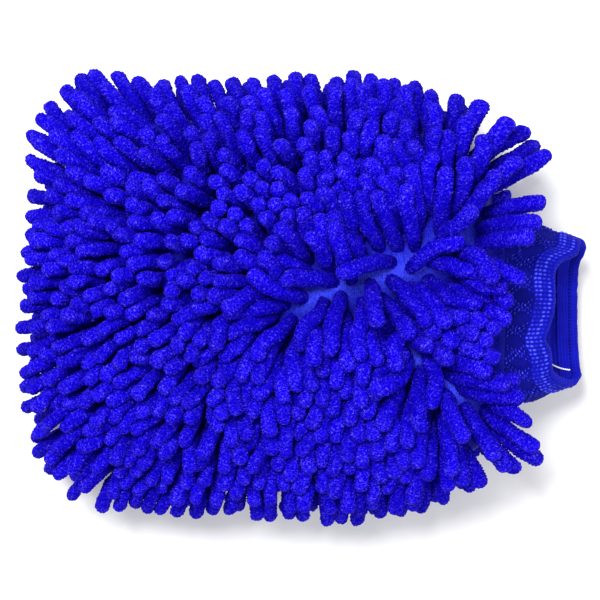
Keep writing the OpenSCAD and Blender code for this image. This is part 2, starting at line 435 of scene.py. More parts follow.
def corner_pull(verts):
    """The bag's corners are pulled out a little, except at its -X,-Y corner."""
    x, y = verts[:, 0], verts[:, 1]
    w = smooth((-x - 55) / 50) * smooth((y - 42) / 45)
    hi = smooth((x - 72) / 35) * smooth((y - 42) / 25)
    lo = smooth((x - 72) / 35) * smooth((-y - 46) / 20)
    out = verts.copy()
    out[:, 0] += 5.0 * hi + 4.0 * lo - 6.0 * w
    out[:, 1] += 3.0 * w
    return out


def new_mesh(name, verts, quads, tris=None, smooth_shade=True, attributes=None):
    """A mesh object from numpy arrays in mm."""
    mesh = bpy.data.meshes.new(name)
    verts = np.asarray(verts, float) * MM
    quads = np.asarray(quads, np.int32).reshape(-1, 4)
    tris = np.zeros((0, 3), np.int32) if tris is None else np.asarray(tris, np.int32).reshape(-1, 3)
    loops = np.concatenate([quads.ravel(), tris.ravel()])
    starts = np.concatenate([np.arange(len(quads)) * 4, len(quads) * 4 + np.arange(len(tris)) * 3])
    mesh.vertices.add(len(verts))
    mesh.vertices.foreach_set("co", verts.astype(np.float32).ravel())
    mesh.loops.add(len(loops))
    mesh.loops.foreach_set("vertex_index", loops.astype(np.int32))
    mesh.polygons.add(len(starts))
    mesh.polygons.foreach_set("loop_start", starts.astype(np.int32))
    mesh.update(calc_edges=True)
    mesh.validate()
    if smooth_shade:
        mesh.shade_smooth()
    for key, values in (attributes or {}).items():
        values = np.asarray(values, np.float32)
        if values.ndim == 2:
            mesh.attributes.new(key, "FLOAT_VECTOR", "POINT").data.foreach_set("vector", values.ravel())
        else:
            mesh.attributes.new(key, "FLOAT", "POINT").data.foreach_set("value", values)
    obj = bpy.data.objects.new(name, mesh)
    bpy.context.scene.collection.objects.link(obj)
    return obj


def grid_quads(rows, cols, wrap):
    """Quads of a rows x cols grid of points, closed round the columns if wrap."""
    i = np.arange(rows - 1)[:, None]
    j = np.arange(cols if wrap else cols - 1)[None, :]
    k = (j + 1) % cols
    return np.stack([i * cols + j, i * cols + k, (i + 1) * cols + k, (i + 1) * cols + j], -1).reshape(-1, 4)


def spline_weights(ts, n):
    """Catmull-Rom weights that turn n chain points into points at ts, from 0 to n - 1."""
    out = np.zeros((len(ts), n))
    for row, t in enumerate(ts):
        i = int(min(n - 2, math.floor(t)))
        f = t - i
        w = (
            -0.5 * f + f * f - 0.5 * f ** 3,
            1 - 2.5 * f * f + 1.5 * f ** 3,
            0.5 * f + 2 * f * f - 1.5 * f ** 3,
            -0.5 * f * f + 0.5 * f ** 3,
        )
        for o, wo in zip((-1, 0, 1, 2), w):
            k = i + o
            if k < 0:
                out[row, 0] += 2 * wo
                out[row, 1] -= wo
            elif k > n - 1:
                out[row, n - 1] += 2 * wo
                out[row, n - 2] -= wo
            else:
                out[row, k] += wo
    return out


def nap_patches(rings, sides, how_many):
    """Relief of the yarn's short pile: small curly tufts over slower lumps."""
    n = rng.normal(0, 1, (how_many, rings, sides))
    # waves per mm, along and round the finger
    ky = np.fft.fftfreq(rings)[:, None] / 0.43
    kx = np.fft.fftfreq(sides)[None, :] / 0.61
    band = np.exp(-((np.hypot(kx, ky) - 0.6) / 0.2) ** 2)
    fine = np.fft.ifft2(np.fft.fft2(n) * band).real
    slow = np.exp(-(kx / 0.18) ** 2 - (ky / 0.14) ** 2)
    lumps = np.fft.ifft2(np.fft.fft2(rng.normal(0, 1, n.shape)) * slow).real
    fine /= fine.std()
    lumps /= lumps.std()
    return fine, lumps


def fingers(name, picks, body_rings, cap_rings, sides):
    """One row of the pile: all its fingers in one mesh."""
    f = len(picks)
    p = spine[picks]
    r = radius[picks][:, None]
    sunk = p.copy()
    sunk[:, 0] -= 1.2 * normalise(p[:, 1] - p[:, 0])
    rings = body_rings + cap_rings
    w = spline_weights(np.linspace(0, NODES - 1, body_rings), NODES)
    centre = np.einsum("rk,fkc->frc", w, sunk)
    tangent = normalise(np.gradient(centre, axis=1))
    end = normalise(centre[:, -1] - centre[:, -2])
    phi = np.linspace(0, math.pi / 2, cap_rings + 2)[1:-1]
    cap = centre[:, -1:, :] + end[:, None, :] * (r * 0.98)[..., None] * np.sin(phi)[None, :, None]
    centre = np.concatenate([centre, cap], 1)
    tangent = np.concatenate([tangent, np.repeat(end[:, None], cap_rings, 1)], 1)
    along = np.linspace(0, 1, body_rings)
    swell = 0.84 + 0.16 * smooth(along / 0.22)
    swell = swell * (1 - 0.035 * np.cos(along * 6.0)) * (1 + 0.035 * smooth((along - 0.55) / 0.4))
    swell = np.concatenate([swell, swell[-1] * np.cos(phi) ** 0.9])
    # frames carried along each finger without twist
    ref = np.zeros((f, 3))
    ref[:, 0] = 1
    ref = normalise(ref - np.einsum("fc,fc->f", ref, tangent[:, 0])[:, None] * tangent[:, 0])
    u = np.zeros_like(centre)
    for k in range(rings):
        ref = ref - np.einsum("fc,fc->f", ref, tangent[:, k])[:, None] * tangent[:, k]
        ref = normalise(ref)
        u[:, k] = ref
    v = np.cross(tangent, u)
    ang = np.arange(sides) * (2 * math.pi / sides)
    pick = rng.integers(0, len(nap_fine), f)
    roll = rng.integers(0, sides, f)
    fine = np.stack([np.roll(nap_fine[a], b, 1) for a, b in zip(pick, roll)])[:, :rings, :sides]
    lump = np.stack([np.roll(nap_lump[a], b, 1) for a, b in zip(pick, roll)])[:, :rings, :sides]
    fade = np.concatenate([np.ones(body_rings), np.cos(phi) ** 0.7])[None, :, None]
    rad = r[..., None] * swell[None, :, None] + (0.19 * fine + 0.18 * lump) * fade
    xyz = centre[:, :, None] + rad[..., None] * (
        np.cos(ang)[None, None, :, None] * u[:, :, None] + np.sin(ang)[None, None, :, None] * v[:, :, None]
    )
    tip = centre[:, -1] + end * (r * 0.06)
    rt = sunk[:, 0]
    per = rings * sides + 2
    verts = np.concatenate([xyz.reshape(f, -1, 3), tip[:, None], rt[:, None]], 1).reshape(-1, 3)
    # yarn coordinates in mm: round the finger, and along it
    run = np.concatenate([[0], np.cumsum(np.linalg.norm(np.diff(centre, axis=1), axis=2).mean(0))])
    cap_run = np.concatenate([run[:body_rings], run[body_rings - 1] + phi * r.mean()])
    yarn = np.zeros((f, rings, sides, 3))
    shrink = np.concatenate([np.ones(body_rings), np.cos(phi)])
    yarn[..., 0] = np.cos(ang)[None, None, :] * r[..., None] * shrink[None, :, None]
    yarn[..., 1] = np.sin(ang)[None, None, :] * r[..., None] * shrink[None, :, None]
    yarn[..., 2] = cap_run[None, :, None]
    offset = rng.uniform(-400, 400, (f, 1, 3))
    yarn = yarn.reshape(f, -1, 3)
    ends = np.zeros((f, 2, 3))
    ends[:, 0, 2] = cap_run[-1] + 0.4
    yarn = np.concatenate([yarn, ends], 1) + offset
    reach = np.concatenate([along, np.ones(cap_rings)])
    reach = np.repeat(reach[None, :, None], sides, 2).repeat(f, 0).reshape(f, -1)
    reach = np.concatenate([reach, np.ones((f, 1)), np.zeros((f, 1))], 1)
    shade = np.repeat(rng.uniform(0, 1, (f, 1)), per, 1)
    nap = np.concatenate([(0.6 * fine + 0.4 * lump).reshape(f, -1), np.zeros((f, 2))], 1)
    base = (np.arange(f) * per)[:, None, None]
    quads = (grid_quads(rings, sides, True)[None] + base).reshape(-1, 4)
    j = np.arange(sides)
    last = (rings - 1) * sides
    top = np.stack([last + j, last + (j + 1) % sides, np.full(sides, rings * sides)], 1)
    low = np.stack([(j + 1) % sides, j, np.full(sides, rings * sides + 1)], 1)
    tris = (np.concatenate([top, low])[None] + base).reshape(-1, 3)
    return new_mesh(
        name, corner_pull(verts), quads, tris,
        attributes={
            "yarn": yarn.reshape(-1, 3), "reach": reach.ravel(), "shade": shade.ravel(), "nap": nap.ravel(),
        },
    )


# ---------------------------------------------------------------- materials

class Graph:
    """Short hand for building one material's nodes."""

    def __init__(self, name):
        self.mat = bpy.data.materials.new(name)
        self.mat.use_nodes = True
        self.tree = self.mat.node_tree
        self.bsdf = self.tree.nodes["Principled BSDF"]

    def node(self, kind, **inputs):
        n = self.tree.nodes.new(kind)
        for key, value in inputs.items():
            if key.startswith("_"):
                setattr(n, key[1:], value)
            else:
                self.plug(n.inputs[key.replace("__", " ")], value)
        return n

    def plug(self, socket, value):
        if isinstance(value, bpy.types.NodeSocket):
            self.tree.links.new(value, socket)
        else:
            socket.default_value = value

    def math(self, op, a, b=0.0, clamp=False):
        n = self.tree.nodes.new("ShaderNodeMath")
        n.operation, n.use_clamp = op, clamp
        self.plug(n.inputs[0], a)
        self.plug(n.inputs[1], b)
        return n.outputs[0]

    def mix(self, factor, a, b, blend="MIX"):
        n = self.tree.nodes.new("ShaderNodeMix")
        n.data_type, n.blend_type = "RGBA", blend
        # the colour pins of a Mix node are 6, 7 and out 2
        for pin, value in ((0, factor), (6, a), (7, b)):
            self.plug(n.inputs[pin], value)
        return n.outputs[2]

    def ramp(self, value, stops):
        n = self.tree.nodes.new("ShaderNodeValToRGB")
        self.plug(n.inputs[0], value)
        ramp = n.color_ramp
        while len(ramp.elements) < len(stops):
            ramp.elements.new(0.5)
        for e, (pos, colour) in zip(ramp.elements, stops):
            e.position = pos
            e.color = (*colour, 1)
        return n.outputs[0]

    def attribute(self, name, kind="Fac"):
        n = self.tree.nodes.new("ShaderNodeAttribute")
        n.attribute_name = name
        return n.outputs[kind]

    def finish(self, colour, roughness, height=None, distance=0.0003, strength=0.6,
               sheen=0.3, sheen_rough=0.4, tint=(0.55, 0.6, 1.0), specular=0.25):
        b = self.bsdf
        self.plug(b.inputs["Base Color"], colour)
        self.plug(b.inputs["Roughness"], roughness)
        b.inputs["Sheen Weight"].default_value = sheen
        b.inputs["Sheen Roughness"].default_value = sheen_rough
        b.inputs["Sheen Tint"].default_value = (*tint, 1)
        b.inputs["Specular IOR Level"].default_value = specular
        if height is not None:
            bump = self.node("ShaderNodeBump", Strength=strength, Distance=distance, Height=height)
            self.plug(b.inputs["Normal"], bump.outputs[0])
        return self.mat


def chenille_material():
    g = Graph("chenille")
    yarn = g.attribute("yarn", "Vector")
    fluff = g.node("ShaderNodeTexNoise", Vector=yarn, Scale=1.5, Detail=2.0, Roughness=0.5).outputs[0]
    blot = g.node("ShaderNodeTexNoise", Vector=yarn, Scale=0.12, Detail=1.0).outputs[0]
    worm_co = g.node("ShaderNodeVectorMath", _operation="MULTIPLY")
    g.plug(worm_co.inputs[0], yarn)
    worm_co.inputs[1].default_value = (0.62, 0.62, 1.1)
    worm = g.node("ShaderNodeTexNoise", Vector=worm_co.outputs[0], Scale=1.0, Detail=1.5, Roughness=0.5,
                  Distortion=0.6).outputs[0]
    worm = g.math("ABSOLUTE", g.math("SUBTRACT", worm, 0.5))
    worm = g.math("SUBTRACT", 1.0, g.math("MULTIPLY", worm, 15.0), clamp=True)
    tuft = g.node("ShaderNodeTexVoronoi", Vector=worm_co.outputs[0], Scale=1.3, Randomness=1.0).outputs[0]
    tuft = g.math("SUBTRACT", 0.9, tuft, clamp=True)
    nap = g.attribute("nap")
    relief = g.math("ADD", g.math("MULTIPLY", worm, 0.42), g.math("MULTIPLY", tuft, 0.28))
    relief = g.math("ADD", relief, g.math("MULTIPLY", fluff, 0.33))
    relief = g.math("ADD", relief, g.math("MULTIPLY", nap, 0.055))
    # painted highlight and painted shade: the ramp paints the yarn's raised curls lighter, up to a near-white
    # glint, and the pits between them darker, over the yarn's own blue
    deep = (0.002, 0.0, 0.34)
    mid = (0.005, 0.0, 0.54)
    bright = (0.016, 0.0045, 0.76)
    glint = (0.15, 0.11, 1.0)
    # painted highlight: the tips are painted a little lighter, as if they catch more light
    reach = g.attribute("reach")
    lit = g.math("ADD", relief, g.math("MULTIPLY", g.math("POWER", reach, 5.0), 0.07))
    colour = g.ramp(lit, [(0.20, deep), (0.35, mid), (0.59, bright), (0.87, glint)])
    shade = g.attribute("shade")
    dim = g.math("ADD", 0.82, g.math("MULTIPLY", shade, 0.20))
    dim = g.math("MULTIPLY", dim, g.math("ADD", 0.9, g.math("MULTIPLY", blot, 0.2)))
    # painted shade: each finger is painted darker towards its root, down among the pile, and lighter towards
    # its tip
    low = g.ramp(reach, [(0.0, (0.45, 0.45, 0.56)), (0.35, (0.7, 0.7, 0.8)), (0.85, (1, 1, 1))])
    colour = g.mix(1.0, colour, low, blend="MULTIPLY")
    dimmed = g.node("ShaderNodeVectorMath", _operation="SCALE")
    g.plug(dimmed.inputs[0], colour)
    g.plug(dimmed.inputs["Scale"], dim)
    rough = g.math("ADD", 0.68, g.math("MULTIPLY", nap, 0.04), clamp=True)
    return g.finish(dimmed.outputs[0], rough, relief, distance=0.0008, strength=0.75, sheen=0.015,
                    tint=(0.3, 0.2, 1.0), specular=0.02)


def base_cloth_material():
    g = Graph("base_cloth")
    co = g.node("ShaderNodeTexCoord").outputs["Object"]
    weave = g.node("ShaderNodeTexNoise", Vector=co, Scale=900.0, Detail=2.0).outputs[0]
    wave = g.node("ShaderNodeTexWave", Vector=co, Scale=350.0, Distortion=2.5, Detail=1.0).outputs[1]
    h = g.math("ADD", g.math("MULTIPLY", weave, 0.85), g.math("MULTIPLY", wave, 0.15))
    # painted shade and painted light: the dark ramp is the cloth in the pile's shade, the light ramp is the
    # same cloth where a fold opens it to the light
    light = g.ramp(h, [(0.36, (0.010, 0.016, 0.42)), (0.64, (0.034, 0.048, 0.68))])
    dark = g.ramp(h, [(0.36, (0.002, 0.002, 0.22)), (0.64, (0.006, 0.006, 0.42))])
    colour = g.mix(g.attribute("open"), dark, light)
    return g.finish(colour, 0.85, h, distance=0.0003, strength=0.6, sheen=0.15, specular=0.1)


chenille = chenille_material()
base_cloth = base_cloth_material()

# ---------------------------------------------------------------- pieces: the pile

PALM_RINGS = (60, 9, 36)
BACK_RINGS = (34, 6, 22)
nap_fine, nap_lump = nap_patches(PALM_RINGS[0] + PALM_RINGS[1], PALM_RINGS[2], 40)
for panel, sign, rings in (("palm", True, PALM_RINGS), ("back", False, BACK_RINGS)):
    for i in range(row_count):
        picks = np.flatnonzero((row_of == i) & (palm == sign))
        node = row_nodes[panel][i]
        obj = fingers(f"{node}_pile", picks, *rings)
        obj.data.materials.append(chenille)
        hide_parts(node)
        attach(obj, "bag")


# ---------------------------------------------------------------- pieces: the two base cloths

def closing(x, y):
    """0 at the sewn edge of the bag, 1 from 2.5 mm inside it."""
    d = np.minimum(half_w(x, y) - np.abs(y), x - x_left(y))
    return smooth(np.where(np.abs(y) > neck(y), np.minimum(d, x_right(y) - x), d) / 2.5)


def sewn_lift(x, y, lift):
    """The cloth's lift off the seam plane, drawn in to the side seam and to the cuff's ring."""
    ring = 16.4 * unit(1 - unit(np.abs(y) / (neck(y) - 1.5)) ** 3) ** (2 / 3)
    at_end = smooth((x - x_cuff + 7) / 6.5)
    lift = lift * (1 - at_end) + np.maximum(ring, 0.45) * at_end
    return 0.45 + (lift - 0.45) * closing(x, y)


def cloth_sheet(name, sign, thick, nx=130, ny=90):
    """The palm (sign +1) or back (sign -1) cloth: outer face, inner face and the edge between them."""
    u = np.linspace(0, 1, nx)
    x = x_tip + 0.3 + (x_cuff - x_tip - 0.6) * (0.5 - 0.5 * np.cos(np.pi * u)) ** 0.9
    t = np.sin(np.linspace(-math.pi / 2, math.pi / 2, ny))
    X = np.repeat(x[:, None], ny, 1)
    W = half_w(X, np.repeat(t[None, :], nx, 0))
    Y = t[None, :] * (W - 0.4)
    lift = sign * (cloth_z(X, Y, np.full(X.shape, float(sign))) - seam_z)
    outer = np.stack([X, Y, seam_z + sign * sewn_lift(X, Y, lift)], -1)
    inner = outer.copy()
    inner[..., 2] -= sign * thick * (0.35 + 0.65 * closing(X, Y))
    verts = np.concatenate([outer.reshape(-1, 3), inner.reshape(-1, 3)])
    q = grid_quads(nx, ny, False)
    n = nx * ny
    if sign < 0:
        q = q[:, ::-1]
    quads = [q[:, ::-1], q + n]
    i = np.arange(nx - 1)
    j = np.arange(ny - 1)
    for a, b in (
        (i * ny, (i + 1) * ny), ((i + 1) * ny + ny - 1, i * ny + ny - 1), (j + 1, j),
        ((nx - 1) * ny + j, (nx - 1) * ny + j + 1),
    ):
        s = np.stack([a, b, b + n, a + n], -1)
        quads.append(s if sign > 0 else s[:, ::-1])
    # painted light and painted shade: the cloth is painted lighter where a fold opens the pile and darker
    # where the pile covers it
    open_ = np.exp(-(away(X, Y, fold_one)[0] / 7) ** 2) * smooth((84 - X) / 10)
    open_ = unit(open_ + np.exp(-(away(X, Y, fold_two)[0] / 7) ** 2)) * (sign > 0)
    return new_mesh(name, corner_pull(verts), np.concatenate(quads),
                    attributes={"open": np.concatenate([open_.ravel()] * 2)})


for name, sign in (("palm_backing", 1), ("back_backing", -1)):
    obj = cloth_sheet(f"{name}_cloth", sign, 1.2)
    obj.data.materials.append(base_cloth)
    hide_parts(name)
    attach(obj, "bag")


# ---------------------------------------------------------------- pieces: the knitted cuff

CUFF_START = x_cuff - 6
HEM = 8.8
# powers of the cuff's section, which is a flattened oval with soft corners
WIDE_POWER, HIGH_POWER = 2.5, 1.6


def oval(t, wide_hi, wide_lo, high, p, q):
    """Y and Z of a superellipse, with its own half width on each side."""
    c, v = np.cos(t), np.sin(t)
    wide = np.where(c < 0, wide_lo, wide_hi)
    return np.sign(c) * wide * np.abs(c) ** (2 / p), np.sign(v) * high * np.abs(v) ** (2 / q)


def even_turn(n):
    """Angles that cut the cuff's section into n equal lengths, and that section's length."""
    t = np.linspace(0, 2 * math.pi, 4001)
    y, z = oval(t, 38.0, 38.0, 14.5, WIDE_POWER, HIGH_POWER)
    run = np.concatenate([[0], np.cumsum(np.hypot(np.diff(y), np.diff(z)))])
    return np.interp(np.arange(n) * run[-1] / n, run, t), run[-1]


def mouth_x(t):
    """Where the mouth's edge lies in X: slanted, dented and flared on the palm side."""
    top = np.maximum(0, np.sin(t))
    y = cuff_y + oval(t, 37.0, 37.0, 15.0, WIDE_POWER, HIGH_POWER)[0]
    dent = -3.5 * np.exp(-((y + 17) / 6.0) ** 2) - 3.2 * np.exp(-((y + 33) / 8.0) ** 2)
    dent = dent + 1.2 * np.exp(-(y / 7.0) ** 2)
    flare = 6.0 * np.exp(-((y - 24) / 5.5) ** 2)
    corner = 2.4 * np.exp(-((y - 30) / 7.0) ** 2) - 1.0 + 3.2 * unit(-2.5 * np.sin(t))
    return x_cuff + cuff_len - mouth_slant * top ** 1.2 + (dent + flare) * unit(top * 3) + corner


def cuff_points(t, x, out):
    """Points of the cuff, out mm outside its outer face."""
    ripple = 0.55 * np.sin(t * 5 + 0.9 + x * 0.05) + 0.4 * np.sin(t * 9 - x * 0.11)
    ripple = ripple + 0.25 * np.sin(t * 16 + x * 0.2)
    near_bag = unit((112 - x) / 24)
    gather = near_bag * (0.5 * np.sin(t * 22 + 0.6) + 0.3 * np.sin(t * 37)) * unit((x - 88) / 6)
    off = out + 0.55 * ripple * unit((x - 88) / 10) + gather - 0.4
    # it spreads to meet the ring of stitches that holds it to the bag
    off = off + 2.0 * smooth((96 - x) / 7) * unit((x - 86) / 3)
    wide = cuff_w(x) + off
    y, z = oval(t, wide + 1.4 * smooth((x - 100) / 18), wide, cuff_h(x) + off, WIDE_POWER, HIGH_POWER)
    return np.stack([x, cuff_y + y, cuff_mid(x) + z], -1)


def zigzag(a, period):
    f = (a / period) % 1.0
    return 1 - 4 * np.abs(f - 0.5)


def knit_relief(a, c, round_mm):
    """Raised dots on crossing zigzags, a diamond net over the plain knit."""
    repeats = round(round_mm / 9.4)
    gap = round_mm / repeats
    wave = 2.25 * zigzag(a + 1.5, 13.0)
    total = np.zeros(np.broadcast(a, c).shape)
    for flip, shift, phase in ((1, 0.0, 0.0), (-1, gap / 2, 0.4), (1, 1.75, 0.9), (-1, gap / 2 - 1.75, 0.2)):
        off = (c - shift - flip * wave + gap / 2) % gap - gap / 2
        dot = ((a + phase) / 1.55) % 1.0 - 0.5
        hump = 1.25 * np.exp(-(off / 0.5) ** 2 - (dot / 0.28) ** 2)
        total = total + hump - 0.2 * np.exp(-(off / 1.2) ** 2)
    return total


def hem_relief(a, c, round_mm):
    """Short dashes in four columns along the hem."""
    rows = round(round_mm / 1.75)
    step = round_mm / rows
    total = np.zeros(np.broadcast(a, c).shape)
    cell = np.floor(c / step)
    for mid, long in ((1.3, 0.7), (3.3, 0.85), (5.5, 0.85), (7.7, 0.85)):
        off = (c / step) % 1.0 - 0.5
        worn = 0.75 + 0.35 * np.sin(cell * 12.9898 + mid * 78.233)
        ragged = np.abs((a - mid - 0.25 * np.sin(cell * 3.1)) / long)
        total += worn * np.exp(-ragged ** 3 - (off * step / 0.44) ** 2)
    return total


def wrap_quads(rows, cols):
    """Quads that join the last row of a grid, closed round its columns, to its first row."""
    j = np.arange(cols)
    k = (j + 1) % cols
    a = (rows - 1) * cols
    return np.stack([a + j, a + k, k, j], -1)


def knit_mesh(name, rings, relief, coords):
    """A closed band from its rings of points (rows x columns x 3), with relief and knit coordinates."""
    rows, cols = rings.shape[:2]
    quads = np.concatenate([grid_quads(rows, cols, True), wrap_quads(rows, cols)])
    return new_mesh(name, rings.reshape(-1, 3), quads[:, ::-1],
                    attributes={"nap": relief.ravel(), "knit": coords.reshape(-1, 3)})


COLS = 480
turn, cuff_round = even_turn(COLS)
around_mm = np.arange(COLS) * cuff_round / COLS
hem_x = mouth_x(turn) - HEM
wobble = np.convolve(rng.normal(0, 1, COLS * 3), np.ones(9) / 9, "same")[COLS:2 * COLS]

# the tube: outer face, then inner face
u = np.linspace(0, 1, 84)[:, None]
x_out = CUFF_START + u * (hem_x[None, :] + 1.2 - CUFF_START)
a = hem_x[None, :] - x_out
relief = knit_relief(a, around_mm[None, :], cuff_round) * unit((a + 0.2) / 1.0)
outer = cuff_points(turn[None, :], x_out, 0.42 * relief - 0.1)
u_in = np.linspace(1, 0, 40)[:, None]
x_in = CUFF_START + u_in * (hem_x[None, :] + 1.2 - CUFF_START)
courses = 0.12 * np.sin(x_in * 2 * math.pi / 1.5)
inner = cuff_points(turn[None, :], x_in, -1.2 + courses)
tube_pts = np.concatenate([outer, inner])
tube_relief = np.concatenate([relief - 0.1, 0.25 + 2 * courses + 0 * inner[..., 0]])
coords = np.concatenate([
    np.stack([a, around_mm[None, :] + 0 * a, 0 * a], -1),
    np.stack([x_in, around_mm[None, :] + 0 * x_in, 0 * x_in + 1], -1),
])
tube = knit_mesh("cuff_knit_tube", tube_pts, tube_relief, coords)

# the hem: outer face with its dashes, the rolled edge, and the facing inside
along = np.linspace(0, HEM, 30)
phi = np.linspace(0, math.pi, 14)[1:-1]
profile = [(d, 0.15 + 0.35 * unit(d / 1.5)) for d in along]
profile += [(HEM + 0.35 + 1.7 * math.sin(f), -1.25 + 1.75 * math.cos(f)) for f in phi]
profile += [(HEM - 0.6 - d, -3.0 + 0.35 * unit(d / 2.0)) for d in np.linspace(0, HEM - 0.6, 24)]
profile = np.array(profile)
d, out = profile[:, 0][:, None], profile[:, 1][:, None]
hx = hem_x[None, :] + d
n_out, n_roll = len(along), len(phi)
kind = np.zeros(len(profile))
kind[n_out:n_out + n_roll] = 1
kind[n_out + n_roll:] = 2
kind = kind[:, None]
dashes = hem_relief(d, around_mm[None, :], cuff_round) * (kind == 0)
twist = around_mm[None, :] * round(cuff_round / 1.6) / cuff_round + d * 0.5
twist = 0.5 + 0.5 * np.sin(2 * math.pi * twist)
roll = twist * (kind == 1)
inside_run = HEM - d
stitches = np.cos(2 * math.pi * around_mm[None, :] * round(cuff_round / 2.0) / cuff_round)
pit = np.exp(-((inside_run - 2.3) / 0.45) ** 2) * (0.55 + 0.45 * stitches)
line = 0.5 + 0.5 * np.sin(2 * math.pi * inside_run / 1.5)
# painted shade: the stitch pits are painted darker through this relief, which sets the knit's colour, besides
# being sunk in
facing = (0.12 + 0.22 * line - 0.7 * pit) * (kind == 2)
h_relief = 1.35 * dashes - 0.04 * (kind == 0) + 0.4 * roll + facing
lift = 0.45 * dashes + 0.14 * roll + 0.10 * wobble[None, :] * (kind == 1)
inward = -(0.16 * line - 0.55 * pit) * (kind == 2)
hem_pts = cuff_points(turn[None, :], hx + 0.25 * wobble[None, :] * (kind > 0), out + lift - inward)
hem_coords = np.stack([d + 0 * hx, around_mm[None, :] + 0 * hx, kind + 0 * hx], -1)
hem = knit_mesh("cuff_hem_band", hem_pts, h_relief + 0 * hx, hem_coords)

# the elastic inside the hem: ribbed along its length
rib = 0.12 * np.sin(2 * math.pi * around_mm * round(cuff_round / 1.2) / cuff_round)
strip = [(1.0, -1.45), (HEM - 1.0, -1.45), (HEM - 1.0, -2.15), (1.0, -2.15)]
rows = []
for (d0, o0), (d1, o1) in zip(strip, strip[1:] + strip[:1]):
    for f in np.linspace(0, 1, 9)[:-1]:
        dd, oo = d0 + f * (d1 - d0), o0 + f * (o1 - o0)
        rows.append(cuff_points(turn, hem_x + dd, oo + rib))
elastic_run = np.arange(len(rows))[:, None] * 1.0
elastic_band = knit_mesh(
    "cuff_elastic_band", np.array(rows), np.tile(rib * 4, (len(rows), 1)),
    np.stack(np.broadcast_arrays(elastic_run, around_mm[None, :], 0.0), -1),
)


# ---------------------------------------------------------------- pieces: seams and the thread end

def sewing_cord(name, path, radius, sides, lumps, lump_mm, flat=1.0):
    """A round or flattened cord of sewing along a path in mm, with stitch lumps and tapered ends."""
    n = len(path)
    tan = normalise(np.gradient(path, axis=0))
    up = np.tile([0.0, 0.0, 1.0], (n, 1))
    side_v = normalise(np.cross(tan, up))
    up = np.cross(side_v, tan)
    run = np.concatenate([[0], np.cumsum(np.linalg.norm(np.diff(path, axis=0), axis=1))])
    ang = np.arange(sides) * 2 * math.pi / sides
    wave = lumps * np.cos(2 * math.pi * run[:, None] / lump_mm + ang[None, :])
    r = radius * np.sqrt(unit(np.minimum(run, run[-1] - run) / radius * 1.2 + 0.05))[:, None]
    rr = r + wave
    spoke = np.cos(ang)[None, :, None] * side_v[:, None] + flat * np.sin(ang)[None, :, None] * up[:, None]
    pts = path[:, None] + rr[..., None] * spoke
    coords = np.stack([run[:, None] + 0 * rr, ang[None, :] * radius + 0 * rr, 0 * rr], -1)
    verts = np.concatenate([pts.reshape(-1, 3), path[:1], path[-1:]])
    j = np.arange(sides)
    k = (j + 1) % sides
    tris = np.concatenate([
        np.stack([k, j, np.full(sides, n * sides)], -1),
        np.stack([(n - 1) * sides + j, (n - 1) * sides + k, np.full(sides, n * sides + 1)], -1),
    ])
    relief = 0.5 + 0.5 * wave / lumps
    return new_mesh(
        name, corner_pull(verts), grid_quads(n, sides, True), tris,
        attributes={
            "nap": np.concatenate([relief.ravel(), [0.5, 0.5]]),
            "knit": np.concatenate([coords.reshape(-1, 3), np.zeros((2, 3))]),
        },
    )


def outline_path(n):
    """The bag's edge from one side of the cuff round the finger end to the other."""
    y = np.concatenate([
        np.linspace(neck_hi + 1.0, bag_half - 0.4, n // 4),
        (bag_half - 0.4) * np.cos(np.linspace(0, math.pi, n // 2 + 2))[1:-1],
        np.linspace(-bag_half + 0.4, -neck_lo - 1.0, n // 4),
    ])
    right = np.zeros(len(y), bool)
    right[:n // 4] = True
    right[-(n // 4):] = True
    x = np.where(right, x_right(y), x_left(y))
    pts = np.stack([x, y], -1)
    run = np.concatenate([[0], np.cumsum(np.linalg.norm(np.diff(pts, axis=0), axis=1))])
    even = np.linspace(0, run[-1], n)
    return np.stack([np.interp(even, run, pts[:, 0]), np.interp(even, run, pts[:, 1])], -1)


edge_line = outline_path(900)
inward_v = normalise(np.stack([-edge_line[:, 0], -edge_line[:, 1]], -1))
seam_path = np.concatenate([edge_line + inward_v * 3.2, np.full((len(edge_line), 1), seam_z)], 1)
side_seam_piece = sewing_cord("side_seam_overlock", seam_path, 2.2, 16, lumps=0.28, lump_mm=2.6, flat=0.3)

ring_t = np.linspace(0, 2 * math.pi, 361)[:-1]
ring_y, ring_z = oval(ring_t, neck_hi - 2.2, neck_lo - 2.2, 17.0 - 0.75, 3.0, 1.5)
ring_path = np.stack([np.full(len(ring_t), x_cuff + 0.2), ring_y, seam_z + ring_z], -1)
looped = np.vstack([ring_path, ring_path[:1]])
ring_run = np.concatenate([[0], np.cumsum(np.linalg.norm(np.diff(looped, axis=0), axis=1))])
ring_round = ring_run[-1]
even = np.linspace(0, ring_round, 521)[:-1]
ring_path = np.stack([np.interp(even, ring_run, looped[:, c]) for c in range(3)], -1)


def stitched_ring(name, path, half_x, half_r, pitch):
    """A flat stitched band round the neck: wide along X, thin across."""
    tan = normalise(np.roll(path, -1, 0) - np.roll(path, 1, 0))
    out_v = normalise(np.cross(tan, np.tile([1.0, 0, 0], (len(path), 1))))
    run = np.arange(len(path)) * ring_round / len(path)
    sides = 18
    ang = np.arange(sides) * 2 * math.pi / sides
    stitch = 0.14 * np.cos(2 * math.pi * run[:, None] / pitch + 1.5 * np.cos(ang)[None, :])
    ex = np.sign(np.cos(ang)) * np.abs(np.cos(ang)) ** 0.6 * half_x
    er = np.sin(ang)[None, :] * (half_r + stitch)
    pts = path[:, None] + ex[None, :, None] * np.array([1.0, 0, 0]) + er[..., None] * out_v[:, None]
    relief = 0.5 + stitch * 3.5
    coords = np.stack([run[:, None] + 0 * stitch, ex[None, :] + 0 * stitch, 0 * stitch], -1)
    return knit_mesh(name, pts, relief, coords)


cuff_seam_piece = stitched_ring("cuff_seam_ring", ring_path, 1.5, 0.3, ring_round / round(ring_round / 2.4))

